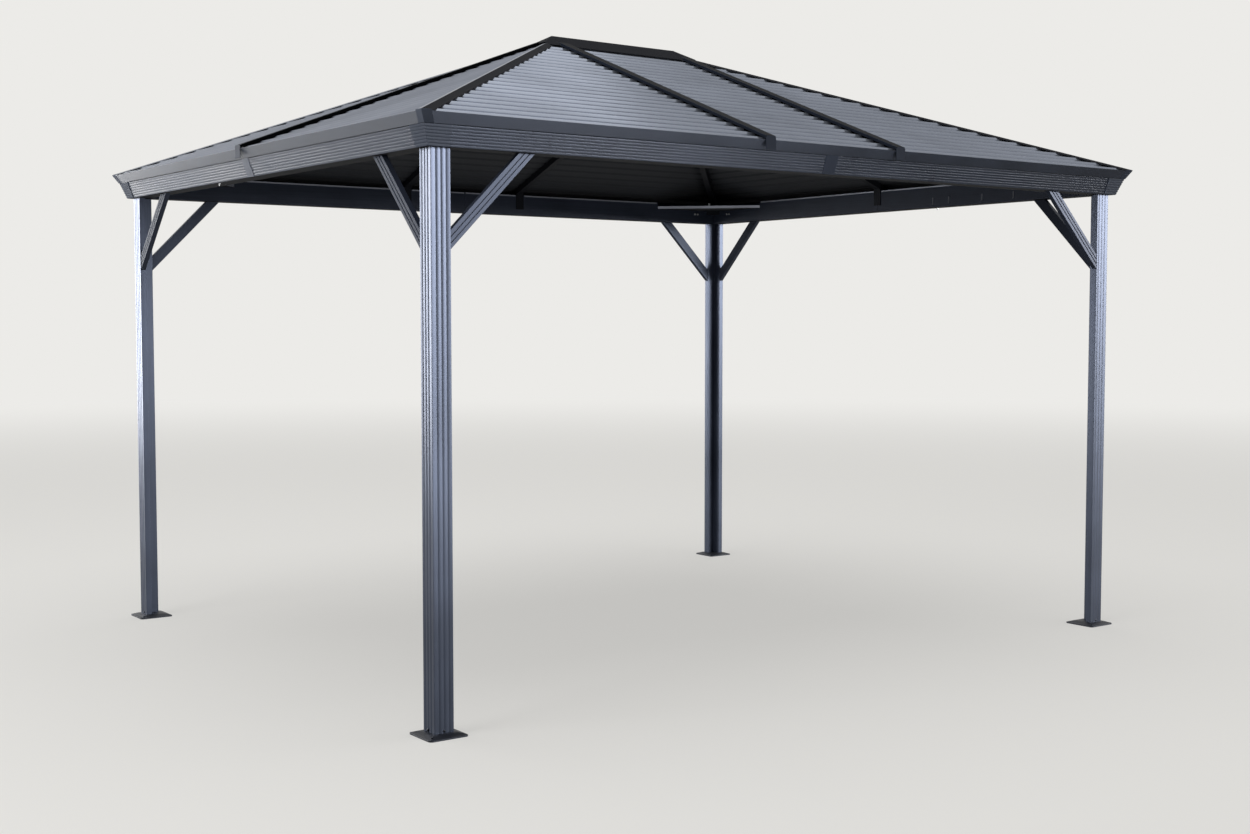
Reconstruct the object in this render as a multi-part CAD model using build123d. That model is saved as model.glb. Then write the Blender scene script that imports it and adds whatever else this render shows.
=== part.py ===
from build123d import *
from math import atan, cos, degrees, radians, sqrt, tan
import os

# Hard-top garden gazebo: four corner posts, eave beams with a ribbed fascia, knee braces,
# a hip roof of ribbed steel sheet on rafters, and the caps over its ridge, hips and seams.
# Millimetres. +X runs along the long side, +Y along the short side, +Z up.
# The origin is the middle of the footprint at ground level. The front is the -Y side.

# Overall sizes, measured over the outer faces of the posts
frame_length = 3476
frame_width = 2796
beam_underside = 1950
roof_overhang = 72
roof_pitch = 21

# Corner posts: an L-shaped hollow extrusion with a fluted face on both legs
post_leg = 74
post_depth = 26
post_wall = 2
flute_count = 3
flute_width = 9
flute_depth = 1.5
post_edge_band = 8

# Cast foot under each post
foot_size = 150
foot_edge = 5
foot_rise = 9
foot_shoulder = 9
foot_corner_radius = 14
socket_clearance = 0.3
anchor_inset = 17
anchor_hole = 9

# Knee braces: hollow bars with two grooves down the outer face
brace_width = 45
brace_thickness = 22
brace_inset = 2
brace_reach = 300
brace_wall = 2
brace_groove_width = 4
brace_groove_depth = 3

# Eave beams: hollow extrusions whose outer face leans out and is ribbed
beam_height = 70
beam_inner_reach = 58
fascia_foot = 18
fascia_head = 44
fascia_rib_count = 7
fascia_rib_height = 2
beam_wall = 2.5
beam_upstand = 36
beam_joint_gap = 1

# Ribbed covers over the mitred beam corners, smooth covers over the mid-side joints
corner_cover_leg = 75
cover_thickness = 1.2
joint_cover_width = 64

# Smooth band round the eave, above the fascia
trim_foot = 50
trim_height = 36
trim_upstand = 8.5
trim_thickness = 1.2
trim_lip = 30
trim_joint_gap = 1
trim_corner_leg = 38

# Plates that tie the beam corners, each with a folded front lip and a corner block below
tie_plate_leg = 410
tie_plate_thickness = 3
tie_plate_lip = 12
tie_block_leg = 53
tie_block_height = 20

# Rafters, ridge beam and the cast hubs at its ends
rafter_width = 30
rafter_depth = 30
hip_rafter_depth = 50
rafter_wall = 2
rafter_setback = 5.5
ridge_beam_width = 40
ridge_beam_depth = 60
hub_sides = 8
hub_radius = 40
hub_height = 70
bracket_width = 46
bracket_thickness = 4
bracket_drop = 40

# Ribbed roof sheets
sheet_thickness = 0.8
sheet_rib_spacing = 62
sheet_rib_base = 20
sheet_rib_height = 8
sheet_edge_inset = 7
sheet_joint_gap = 6

# Caps over the hips, the seams and the ridge
cap_thickness = 1.2
hip_cap_width = 64
hip_cap_rise = 4
seam_cap_width = 48
seam_cap_rise = 15
seam_cap_lip = 2.5
seam_web_width = 24
seam_end_corner = 6
seam_end_thickness = 2
ridge_cap_width = 180
ridge_cap_rise = 22
ridge_cap_end = 76
ridge_hood_rise = 8
ridge_joint_inset = 4
cap_clearance = 0.3

# How far a cutting shape runs past what it cuts
cut_margin = 40

# Sizes that follow from the ones above
half_length = frame_length / 2
half_width = frame_width / 2
eave_length = half_length + roof_overhang
eave_width = half_width + roof_overhang
ridge_half = eave_length - eave_width
slope = tan(radians(roof_pitch))
beam_top = beam_underside + beam_height
band_top = beam_top + trim_height
eave_height = band_top - trim_upstand
rib_top = sheet_rib_height + sheet_thickness
fascia_lean = (fascia_head - fascia_foot) / beam_height
far = eave_length * 3

TURNS = {"front": 0, "right": 90, "back": 180, "left": 270}
CORNERS = {
    "front_left": (1, 1),
    "front_right": (-1, 1),
    "back_left": (1, -1),
    "back_right": (-1, -1),
}


def sizes_of(side):
    """Half the length of a side and its distance from the middle, over the post faces."""
    if side in ("front", "back"):
        return half_length, half_width
    return half_width, half_length


def on_side(solid, side):
    """Turn a solid made for the front to its side."""
    return Rot(0, 0, TURNS[side]) * solid


def at_corner(solid, corner):
    """Mirror a solid made for the front left corner to its corner."""
    keep_x, keep_y = CORNERS[corner]
    if keep_x < 0:
        solid = mirror(solid, about=Plane.YZ)
    if keep_y < 0:
        solid = mirror(solid, about=Plane.XZ)
    return solid


def corner_pair(make):
    """Two like pieces at the front left corner, along the front and along the left side."""
    along_left = mirror(make(half_width, half_length), about=Plane.YZ)
    return [make(half_length, half_width), on_side(along_left, "left")]


def bar(section, distance, start, end):
    """A bar along the front from start to end; its section holds (outward, height) points."""
    corners = [(start, -distance - outward, height) for outward, height in section]
    return extrude(make_face(Polyline(*corners, close=True)), end - start, dir=(1, 0, 0))


def column(outline, low, high):
    """An upright prism over a plan outline."""
    corners = [(x, y, low) for x, y in outline]
    return extrude(make_face(Polyline(*corners, close=True)), high - low, dir=(0, 0, 1))


def mitre(half, distance, gap):
    """The plan region of one side, between the two 45 degree mitres."""
    inner, outer = -beam_inner_reach - cut_margin, roof_overhang + cut_margin
    reach_in, reach_out = half + inner - gap, half + outer - gap
    outline = [(-reach_out, -distance - outer), (reach_out, -distance - outer),
               (reach_in, -distance - inner), (-reach_in, -distance - inner)]
    return column(outline, 0, far)


def underside(inward):
    """Height of the underside of the sheets, a distance inward from the eave's edge."""
    return eave_height + slope * inward


def folded(foot, crest, reach):
    """Section of a folded cap: its foot and crest heights below the metal, half as wide as reach."""
    return [(-reach, foot), (-reach, foot + cap_thickness), (0, crest + cap_thickness),
            (reach, foot + cap_thickness), (reach, foot), (0, crest)]


def write(name, solids):
    """Write one sub-part of one or more solids."""
    solids = list(solids)
    shape = solids[0] if len(solids) == 1 else Compound(children=solids)
    export_step(shape, os.path.join("parts", name + ".step"))


def l_outline(leg, depth, inset):
    """Plan of an L at the front left corner, its corner at 0, shrunk by an inset all round."""
    return [(inset, inset), (leg - inset, inset), (leg - inset, depth - inset),
            (depth - inset, depth - inset), (depth - inset, leg - inset), (inset, leg - inset)]


def fluted_face(leg):
    """Points along an outer face of the post, as (along, inward) pairs with shallow flutes."""
    points = []
    pitch = (leg - 2 * post_edge_band) / flute_count
    for index in range(flute_count):
        middle = post_edge_band + pitch * (index + 0.5)
        points += [(middle - flute_width / 2, 0), (middle - flute_width / 4, flute_depth),
                   (middle + flute_width / 4, flute_depth), (middle + flute_width / 2, 0)]
    return points


def make_post():
    """The post at the front left corner."""
    along_x = fluted_face(post_leg)
    along_y = [(inward, along) for along, inward in reversed(along_x)]
    outline = ([(0, 0)] + along_x
               + [(post_leg, 0), (post_leg, post_depth), (post_depth, post_depth),
                  (post_depth, post_leg), (0, post_leg)] + along_y)
    hollow = l_outline(post_leg, post_depth, post_wall + flute_depth)
    tube = column(outline, foot_edge, beam_underside) - column(hollow, foot_edge, beam_underside)
    return Pos(-half_length, -half_width, 0) * tube


def make_foot():
    """The foot under the front left post, with four anchor holes and a socket for the post."""
    square = Rectangle(foot_size, foot_size)
    lean = degrees(atan((foot_size / 2 - post_leg / 2 - foot_shoulder) / foot_rise))
    slopes = Pos(0, 0, foot_edge) * extrude(square, foot_rise, taper=lean)
    foot = extrude(square, foot_edge) + slopes
    foot &= extrude(RectangleRounded(foot_size, foot_size, foot_corner_radius), foot_size)
    anchor = foot_size / 2 - anchor_inset
    for x in (-anchor, anchor):
        for y in (-anchor, anchor):
            foot -= Pos(x, y, 0) * Cylinder(anchor_hole / 2, foot_size)
    socket = l_outline(post_leg, post_depth, -socket_clearance)
    pocket = [(x - post_leg / 2, y - post_leg / 2) for x, y in socket]
    foot -= column(pocket, foot_edge, foot_size)
    return Pos(-half_length + post_leg / 2, -half_width + post_leg / 2, 0) * foot


def brace_section(width, thickness):
    """Section of a brace as (across, inward) points, with two grooves in the outer face."""
    points = [(-width / 2, 0)]
    for middle in (-width / 6, width / 6):
        points += [(middle - brace_groove_width / 2, 0),
                   (middle - brace_groove_width / 2, brace_groove_depth),
                   (middle + brace_groove_width / 2, brace_groove_depth),
                   (middle + brace_groove_width / 2, 0)]
    return points + [(width / 2, 0), (width / 2, thickness), (-width / 2, thickness)]


def make_brace(half, distance):
    """The brace at a side's left end, cut to the post's inner edge and the beam's underside."""
    foot = (-half + post_leg, beam_underside - brace_reach)
    run = brace_width * 2 + brace_reach * sqrt(2)
    lean = 1 / sqrt(2)

    def stick(section):
        corners = [(foot[0] - brace_width * lean - across * lean,
                    -distance + brace_inset + inward,
                    foot[1] - brace_width * lean + across * lean) for across, inward in section]
        return extrude(make_face(Polyline(*corners, close=True)), run, dir=(1, 0, 1))

    inner = brace_width / 2 - brace_wall
    low, high = brace_groove_depth + brace_wall, brace_thickness - brace_wall
    hollow = [(-inner, low), (inner, low), (inner, high), (-inner, high)]
    brace = stick(brace_section(brace_width, brace_thickness)) - stick(hollow)
    room = [(foot[0], 0), (0, 0), (0, -far), (foot[0], -far)]
    return brace & column(room, 0, beam_underside)


def fascia_line(offset, rib):
    """Points up the leaning fascia, an offset out from it, with a rib height where ribbed."""
    points = []
    pitch = beam_height / fascia_rib_count
    for index in range(fascia_rib_count):
        low = pitch * index
        for share, out in ((0.0, 0), (0.25, rib), (0.75, rib), (1.0, 0)):
            if share == 0.0 and index > 0:
                continue
            height = low + pitch * share
            points.append((fascia_foot + fascia_lean * height + offset + out,
                           beam_underside + height))
    return points


def beam_section():
    """Outer section of an eave beam, as (outward, height) points."""
    ribbed = fascia_line(0, fascia_rib_height)
    return [(-beam_inner_reach, beam_underside)] + ribbed + [(-beam_inner_reach, beam_top)]


def make_beam_lengths(side):
    """The two lengths of one eave beam, mitred at the corners and butted at mid-side."""
    half, distance = sizes_of(side)
    inner, foot = -beam_inner_reach + beam_wall, fascia_foot - beam_wall
    head = fascia_head - beam_wall * (1 + fascia_lean)
    hollow = [(inner, beam_underside + beam_wall), (foot, beam_underside + beam_wall),
              (head, beam_top - beam_wall), (inner, beam_top - beam_wall)]
    start, end = -half - roof_overhang, -beam_joint_gap / 2
    length = bar(beam_section(), distance, start, end) - bar(hollow, distance, start, end)
    length &= mitre(half, distance, beam_joint_gap / 2)
    length += bar(upstand_section(), distance, tie_plate_end(half) + beam_joint_gap, end)
    return [on_side(length, side), on_side(mirror(length, about=Plane.YZ), side)]


def upstand_section():
    """Section of the upright flange along a beam's inner edge, between the tie plates."""
    inner = -beam_inner_reach
    return [(inner, beam_top), (inner, beam_top + beam_upstand),
            (inner + beam_wall, beam_top + beam_upstand), (inner + beam_wall, beam_top)]


def tie_plate_end(half):
    """How far along a side the tie plate of its left corner ends."""
    return -half + beam_inner_reach + tie_plate_leg


def corner_cover_arm(half, distance):
    """One arm of a beam corner's cover, along the front from the left corner."""
    inner = fascia_line(fascia_rib_height, 0)
    outer = fascia_line(fascia_rib_height + cover_thickness, fascia_rib_height)
    section = [inner[0]] + outer + [inner[-1]]
    start = -half - roof_overhang
    end = -half - fascia_foot + corner_cover_leg
    arm = bar(section, distance, start, end)
    return arm & mitre(half, distance, 0)


def make_corner_cover():
    """The ribbed cover round the front left beam corner."""
    front_arm, left_arm = corner_pair(corner_cover_arm)
    return front_arm + left_arm


def make_joint_cover(side):
    """The smooth strip over a mid-side beam joint."""
    distance = sizes_of(side)[1]
    inner = fascia_line(fascia_rib_height, 0)
    outer = fascia_line(fascia_rib_height + cover_thickness, 0)
    section = [inner[0], outer[0], outer[-1], inner[-1]]
    return on_side(bar(section, distance, -joint_cover_width / 2, joint_cover_width / 2), side)


def make_tie_plate():
    """The triangular plate across the front left corner, on top of the beams."""
    seat = beam_inner_reach / 2
    leg, block, top = tie_plate_leg, tie_block_leg, beam_top + tie_plate_thickness
    strip = tie_plate_thickness * sqrt(2)
    outline = [(-seat, -seat), (leg, -seat), (leg, 0), (0, leg), (-seat, leg)]
    plate = column(outline, beam_top, top)
    plate += column([(leg - strip, 0), (leg, 0), (0, leg), (0, leg - strip)], top, top + tie_plate_lip)
    plate += column([(0, 0), (block, 0), (0, block)], beam_top - tie_block_height, beam_top)
    return Pos(-half_length + beam_inner_reach, -half_width + beam_inner_reach, 0) * plate


def trim_section():
    """Section of the eave band: a leaning face with a lip inside that carries the sheet's edge."""
    thick = trim_thickness
    lean = (roof_overhang - trim_foot) / trim_height
    lip = roof_overhang - trim_lip
    over = (thick + lean * trim_upstand) / (1 + lean * slope)
    under = (thick + lean * (trim_upstand + thick)) / (1 + lean * slope)
    return [(trim_foot - thick, beam_top), (trim_foot, beam_top), (roof_overhang, band_top),
            (roof_overhang - thick, band_top), (roof_overhang - over, underside(over)),
            (lip, underside(trim_lip)), (lip, underside(trim_lip) - thick),
            (roof_overhang - under, underside(under) - thick)]


def make_trim(side):
    """The eave band of one side, in lengths that meet under the seam caps."""
    half, distance = sizes_of(side)
    seams = seam_places(side)
    ends = [-half - roof_overhang] + seams + [half + roof_overhang]
    region = mitre(half, distance, trim_joint_gap / 2)
    lengths = []
    for start, end in zip(ends, ends[1:]):
        length = bar(trim_section(), distance, start + trim_joint_gap / 2, end - trim_joint_gap / 2)
        lengths.append(on_side(length & region, side))
    return lengths


def seam_places(side):
    """Where the raised seams of a slope stand, along its side."""
    return [-ridge_half, ridge_half] if side in ("front", "back") else [0]


def mitre_strip(half, distance, leg):
    """The plan region of one side between its left mitre and a like line a leg further along."""
    inner, outer = -beam_inner_reach - cut_margin, roof_overhang + cut_margin
    outline = [(-half - outer, -distance - outer), (leg - half - outer, -distance - outer),
               (leg - half - inner, -distance - inner), (-half - inner, -distance - inner)]
    return column(outline, 0, far)


def make_trim_corner():
    """The small smooth cover over the corner of the eave bands and the end of the hip cap."""
    thick = trim_thickness
    top = eave_height + rib_top + hip_cap_rise
    section = [(trim_foot, beam_top), (trim_foot + thick, beam_top),
               (roof_overhang + thick, band_top), (roof_overhang + thick, top),
               (roof_overhang, top), (roof_overhang, band_top)]

    def arm(half, distance):
        piece = bar(section, distance, -half - roof_overhang - thick, -half + trim_corner_leg)
        return piece & mitre_strip(half, distance, trim_corner_leg)

    front_arm, left_arm = corner_pair(arm)
    return front_arm + left_arm


def sheet_section(distance_inward):
    """Section of a ribbed sheet as (inward, height) points, from the eave to the ridge."""
    base = sheet_rib_base / 2
    lower = [(sheet_edge_inset, underside(sheet_edge_inset))]
    middle = sheet_rib_spacing / 2
    while middle + base < distance_inward:
        for offset, height in ((-base, 0), (0, sheet_rib_height), (base, 0)):
            lower.append((middle + offset, underside(middle + offset) + height))
        middle += sheet_rib_spacing
    lower.append((distance_inward, underside(distance_inward)))
    upper = [(inward, height + sheet_thickness) for inward, height in lower]
    return lower + upper[::-1]


def make_panels(side):
    """The sheets of one slope, cut to the hips and to the seams."""
    half, distance = sizes_of(side)
    edge = half + roof_overhang
    run = eave_width - sheet_joint_gap / 2
    section = [(roof_overhang - inward, height) for inward, height in sheet_section(run)]
    whole = bar(section, distance, -edge, edge)
    gap = sheet_joint_gap / 2
    limits = [-edge] + seam_places(side) + [edge]
    panels = []
    for start, end in zip(limits, limits[1:]):
        left, right = start + gap, end - gap
        outline = hip_bounded(left, right, edge - sheet_joint_gap)
        front = -distance - roof_overhang
        panel = whole & column([(x, front + inward) for x, inward in outline], 0, far)
        panels.append(on_side(panel, side))
    return panels


def hip_bounded(left, right, edge):
    """Plan of a sheet between two limits, cut by the hips, as (along, inward) points."""
    left, right = max(left, -edge), min(right, edge)
    peaks = [(x, min(edge - abs(x), eave_width)) for x in (right, left)]
    return [(left, 0), (right, 0)] + [peak for peak in peaks if peak[1] > 0]


def make_rafter(side, along):
    """A rafter down the middle of a seam, from the hub to the beam's top."""
    distance = sizes_of(side)[1]
    end = distance + roof_overhang - hub_reach(side)
    tall = rafter_depth / cos(radians(roof_pitch))
    start = trim_lip + rafter_setback

    def rail(inset, low):
        top, bottom = inset / cos(radians(roof_pitch)), tall - inset / cos(radians(roof_pitch))
        section = [(start, underside(start) - top), (end, underside(end) - top),
                   (end, underside(end) - bottom), (start, underside(start) - bottom)]
        points = [(roof_overhang - inward, height) for inward, height in section]
        wide = rafter_width / 2 - inset
        stick = bar(points, distance, along - wide, along + wide)
        return stick & Pos(0, 0, low + far) * Box(4 * far, 4 * far, 2 * far)

    return on_side(rail(0, beam_top) - rail(rafter_wall, beam_top), side)


def hub_reach(side):
    """How far from the middle the rafters of a slope end, at the flat of a hub."""
    if side in ("front", "back"):
        return hub_radius
    return ridge_half + hub_radius


def make_hip_rafter():
    """The rafter under the front left hip, its top below the meeting of the two slopes."""
    drop = slope * rafter_width / (2 * sqrt(2))
    diagonal_slope = slope / sqrt(2)
    tall = hip_rafter_depth / cos(atan(diagonal_slope))
    start, end = trim_lip * sqrt(2) + rafter_width / 2, eave_width * sqrt(2) - hub_radius
    seat = beam_top + tie_plate_thickness

    def rail(inset):
        top, bottom = inset, tall - inset
        corners = [(start, eave_height - drop - top), (end, eave_height - drop - top),
                   (end, eave_height - drop - bottom), (start, eave_height - drop - bottom)]
        points = [(along, rafter_width / 2 - inset, height + diagonal_slope * along)
                  for along, height in corners]
        stick = extrude(make_face(Polyline(*points, close=True)), rafter_width - 2 * inset,
                        dir=(0, -1, 0))
        return stick & Pos(0, 0, seat + far) * Box(4 * far, 4 * far, 2 * far)

    rafter = Rot(0, 0, 45) * (rail(0) - rail(rafter_wall))
    return Pos(-eave_length, -eave_width, 0) * rafter


def make_ridge_beam():
    """The beam under the ridge, between the two hubs."""
    top = underside(eave_width) - slope * ridge_beam_width / 2
    length = 2 * (ridge_half - hub_radius)
    wall = 2 * rafter_wall
    beam = Box(length, ridge_beam_width, ridge_beam_depth)
    beam -= Box(length, ridge_beam_width - wall, ridge_beam_depth - wall)
    return Pos(0, 0, top - ridge_beam_depth / 2) * beam


def make_hub(end):
    """The eight-sided cast hub that the rafters meet at one end of the ridge."""
    hub_top = underside(eave_width - hub_radius)
    sides = RegularPolygon(hub_radius, hub_sides, major_radius=False, rotation=180 / hub_sides)
    hub = extrude(sides, hub_height)
    return Pos(end * ridge_half, 0, hub_top - hub_height) * hub


def make_rafter_bracket(side, along):
    """The angle at a rafter's foot, on the beam's inner face."""
    distance = sizes_of(side)[1]
    face = -beam_inner_reach
    inward = roof_overhang - face
    tall = rafter_depth / cos(radians(roof_pitch))
    head = underside(inward) - tall
    section = [(face, beam_top - bracket_drop), (face, head),
               (face - bracket_thickness, head + slope * bracket_thickness),
               (face - bracket_thickness, beam_top - bracket_drop)]
    half = bracket_width / 2
    return on_side(bar(section, distance, along - half, along + half), side)


def make_hip_cap():
    """The folded cap over the front left hip, resting on the ribs of both slopes."""
    reach = hip_cap_width / 2
    diagonal_slope = slope / sqrt(2)
    crest = eave_height + rib_top + hip_cap_rise - cap_thickness
    foot = eave_height + rib_top - diagonal_slope * reach
    corners = [(0, -across, height) for across, height in folded(foot, crest, reach)]
    profile = make_face(Polyline(*corners, close=True))
    climb = Vector(1, 0, diagonal_slope)
    before = -2 * hip_cap_width
    strip = extrude(profile, 2 * eave_width * climb.length, dir=climb)
    strip = Pos(before, 0, before * diagonal_slope) * strip
    strip = Pos(-eave_length, -eave_width, 0) * Rot(0, 0, 45) * strip
    end = -ridge_half - ridge_cap_end - cap_clearance
    plan = [(-eave_length, -eave_width), (end, -eave_width), (end, 0), (-eave_length, 0)]
    return strip & column(plan, 0, far)


def seam_section():
    """Section of a seam cap: a top strip with two lips, on a narrower channel."""
    half, web, thick, top = seam_cap_width / 2, seam_web_width / 2, cap_thickness, seam_cap_rise
    right = [(web - thick, top - thick), (web - thick, 0), (web, 0), (web, top - thick),
             (half - thick, top - thick), (half - thick, top - seam_cap_lip),
             (half, top - seam_cap_lip), (half, top)]
    left = [(-across, height) for across, height in right]
    return left[::-1] + right


def make_seam_end():
    """The upright end of a seam cap in front of the eave band, with cut upper corners."""
    half, top, cut = seam_cap_width / 2, eave_height + rib_top + seam_cap_rise, seam_end_corner
    outline = [(-half, beam_top), (half, beam_top), (half, top - cut), (half - cut, top),
               (cut - half, top), (-half, top - cut)]
    corners = [(across, 0, height) for across, height in outline]
    return extrude(make_face(Polyline(*corners, close=True)), seam_end_thickness, dir=(0, -1, 0))


def make_seam_cap(side, along):
    """The raised cap over a seam, closed at the eave by an upright end."""
    distance = sizes_of(side)[1]
    eave = -distance - roof_overhang - trim_thickness
    stop = ridge_cap_width / 2 if side in ("front", "back") else ridge_half + ridge_cap_end
    length = -stop - cap_clearance - eave
    base = underside(-trim_thickness) + rib_top
    corners = [(across, 0, base + height) for across, height in seam_section()]
    climb = Vector(0, 1, slope)
    strip = extrude(make_face(Polyline(*corners, close=True)), length * climb.length, dir=climb)
    return on_side(Pos(along, eave, 0) * (strip + make_seam_end()), side)


def make_ridge_cap():
    """The folded cap over the ridge with its two hipped end pieces, resting on the ribs."""
    half, reach = ridge_cap_width / 2, ridge_half + ridge_cap_end
    crest = underside(eave_width) + rib_top + ridge_cap_rise - cap_thickness

    def form(lift):
        foot = underside(eave_width - half) + rib_top
        end_foot = underside(eave_length - reach) + rib_top + ridge_hood_rise
        low, high = foot - ridge_cap_rise, crest + lift
        across = [(-reach, -half, low), (-reach, half, low), (-reach, half, foot + lift),
                  (-reach, 0, high), (-reach, -half, foot + lift)]
        along = [(-reach, half, low), (reach, half, low), (reach, half, end_foot + lift),
                 (ridge_half, half, high), (-ridge_half, half, high), (-reach, half, end_foot + lift)]
        long_folds = extrude(make_face(Polyline(*across, close=True)), 2 * reach, dir=(1, 0, 0))
        end_folds = extrude(make_face(Polyline(*along, close=True)), 2 * half, dir=(0, -1, 0))
        return long_folds & end_folds

    whole = form(cap_thickness) - form(0)
    joint, gap = ridge_half - ridge_joint_inset, trim_joint_gap / 2
    limits = [(-reach, -joint - gap), (-joint + gap, joint - gap), (joint + gap, reach)]
    return [whole & column([(start, -half), (end, -half), (end, half), (start, half)], 0, far)
            for start, end in limits]


def main():
    """Make every sub-part and write it."""
    os.makedirs("parts", exist_ok=True)
    post, foot, tie_plate = make_post(), make_foot(), make_tie_plate()
    corner_cover, trim_corner = make_corner_cover(), make_trim_corner()
    hip_rafter, hip_cap, braces = make_hip_rafter(), make_hip_cap(), corner_pair(make_brace)
    for corner in CORNERS:
        write("post_" + corner, [at_corner(post, corner)])
        write("post_foot_" + corner, [at_corner(foot, corner)])
        write("hip_cap_" + corner, [at_corner(hip_cap, corner)])
        write("knee_braces_" + corner, [at_corner(brace, corner) for brace in braces])
    write("corner_tie_plates", [at_corner(tie_plate, corner) for corner in CORNERS])
    write("beam_corner_covers", [at_corner(corner_cover, corner) for corner in CORNERS])
    write("eave_corner_covers", [at_corner(trim_corner, corner) for corner in CORNERS])
    write("hip_rafters", [at_corner(hip_rafter, corner) for corner in CORNERS])
    write("beam_joint_covers", [make_joint_cover(side) for side in TURNS])
    brackets = []
    for side in TURNS:
        write("eave_beam_" + side, make_beam_lengths(side))
        write("eave_trim_" + side, make_trim(side))
        write("roof_sheets_" + side, make_panels(side))
        write("seam_caps_" + side, [make_seam_cap(side, along) for along in seam_places(side)])
        write("rafters_" + side, [make_rafter(side, along) for along in seam_places(side)])
        brackets += [make_rafter_bracket(side, along) for along in seam_places(side)]
    write("rafter_brackets", brackets)
    write("ridge_beam", [make_ridge_beam()])
    write("ridge_hubs", [make_hub(-1), make_hub(1)])
    write("ridge_cap", make_ridge_cap())


main()
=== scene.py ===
from math import cos, pi, radians, sin

import bmesh
import bpy
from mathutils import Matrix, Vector
from mathutils.bvhtree import BVHTree


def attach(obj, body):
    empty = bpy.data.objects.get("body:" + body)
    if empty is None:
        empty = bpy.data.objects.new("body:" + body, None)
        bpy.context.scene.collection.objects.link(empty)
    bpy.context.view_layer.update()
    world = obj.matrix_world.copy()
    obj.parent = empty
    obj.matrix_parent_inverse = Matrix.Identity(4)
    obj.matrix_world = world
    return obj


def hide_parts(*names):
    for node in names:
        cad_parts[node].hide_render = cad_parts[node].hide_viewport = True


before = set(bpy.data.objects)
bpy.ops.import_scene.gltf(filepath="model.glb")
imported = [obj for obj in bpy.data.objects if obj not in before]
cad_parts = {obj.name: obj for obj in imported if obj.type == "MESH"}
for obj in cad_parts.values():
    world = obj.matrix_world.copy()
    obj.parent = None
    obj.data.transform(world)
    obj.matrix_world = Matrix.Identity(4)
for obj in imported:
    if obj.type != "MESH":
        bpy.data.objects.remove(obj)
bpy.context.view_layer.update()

bl_info = {
    "name": "Garden Gazebo Finishes",
    "version": (1, 0, 0),
    "blender": (4, 5, 0),
    "location": "3D View > Sidebar > Gazebo",
    "description": "Coats the frame and roof of a hip-roofed metal gazebo, adds its fasteners and lights it",
    "category": "Object",
}

CORNERS = ("front_left", "front_right", "back_left", "back_right")
SIDES = ("front", "right", "back", "left")
MM = 0.001
WELD = 0.01 * MM

# Heights in metres that tell one part of a piece from another
SEAM_END_TOP = 2.09
TIE_PLATE_TOP = 2.0235

# Outer faces of the posts, in metres from the middle
POST_X, POST_Y = 1.738, 1.398
# Ends of the level lines that find a fastener's seat, inside the frame and past it
INSIDE_X, INSIDE_Y, OUTSIDE = 1.3, 1.0, 2.0
# Places of the fasteners in metres, mirrored to every corner or turned to the other side
SCREW_X, SCREW_Y, SCREW_HEIGHT = 1.701, 1.354, 0.021
BOLT_REACHES, BOLT_HEIGHT = (0.18, 0.20), 2.0
PLATE_BOLT_X, PLATE_BOLT_Y, ABOVE_PLATES = 1.5, 1.16, 2.06
END_BOLT_X, END_BOLT_Y, BELOW_BEAMS, ABOVE_BEAMS = 1.742, 0.36, 1.8, 3.0
CLIP_PLACES, CLIP_HEIGHT = (-0.387, -0.493, -0.706, -0.9), 1.98
# Hems run between the tie plates, the rafter brackets and the joints
HEM_SPANS_LONG = ((-1.262, -0.366), (-0.314, -0.002), (0.002, 0.314), (0.366, 1.262))
HEM_SPANS_SHORT = ((-0.922, -0.026), (0.026, 0.922))
UPSTAND_MIDDLE, HEM_RISE, HEM_GAP = 2.05, 0.0055, 0.004
# Sizes of the three kinds of bolt, as shares of the plain hexagon head
BEAM_BOLT, PLATE_BOLT, END_BOLT = 0.8, 1.7, 0.6

# Outlines of turned parts in mm, radius and height over their seat. A pan head and a washer start
# just below the seat, a hexagon head inside its washer, and a bolt's end inside the head
PAN_HEAD = ((5.0, -0.2), (5.0, 1.2), (4.2, 2.4), (2.6, 3.1), (1.9, 3.2), (1.7, 1.6))
WASHER = ((9.0, -0.2), (9.0, 1.2), (8.6, 1.6))
HEX_HEAD = ((7.5, 1.4), (7.5, 6.0), (6.7, 6.8))
BOLT_END = ((4.0, 6.6), (4.0, 16.0), (3.2, 17.0))
# Rolled sections in mm, outward and upward
HEM = ((-0.2, -7.0), (-0.2, 0.0), (1.6, 0.0), (2.4, -0.9), (2.4, -6.1), (1.6, -7.0))
CLIP = ((-0.2, -15.0), (-0.2, 17.0), (1.6, 17.0), (1.6, -12.0), (4.6, -16.0), (3.4, -17.2))

# The sheen of both kinds of coat is tinted a little cool, a painted reflection of an open sky
COAT_TINT, SHEET_TINT = "#c6cee2", "#b9c0d2"
# The range that most of a noise falls in, and the drift of tone that it stands for
NOISE_RANGE = {"From Min": 0.3, "From Max": 0.7}
TONE_RANGE = {"To Min": 0.86, "To Max": 1.14}
# Settings of a Mix node that multiplies a colour by a tone
TINTED = {"data_type": "RGBA", "blend_type": "MULTIPLY"}

FLOOR_REACH = 60.0


def linear(code):
    """A linear colour with full alpha from an sRGB hex code."""
    channels = [int(code[i:i + 2], 16) / 255 for i in (1, 3, 5)]
    return tuple(c / 12.92 if c <= 0.04045 else ((c + 0.055) / 1.055) ** 2.4 for c in channels) + (1.0,)


def colour(name, description, code):
    """A colour setting with its default given as an sRGB hex code."""
    return bpy.props.FloatVectorProperty(
        name=name, description=description, subtype="COLOR", size=4, min=0, max=1, default=linear(code))


def length(name, description, default):
    """A length setting in metres."""
    return bpy.props.FloatProperty(
        name=name, description=description, default=default, min=0, precision=4, unit="LENGTH")


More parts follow.
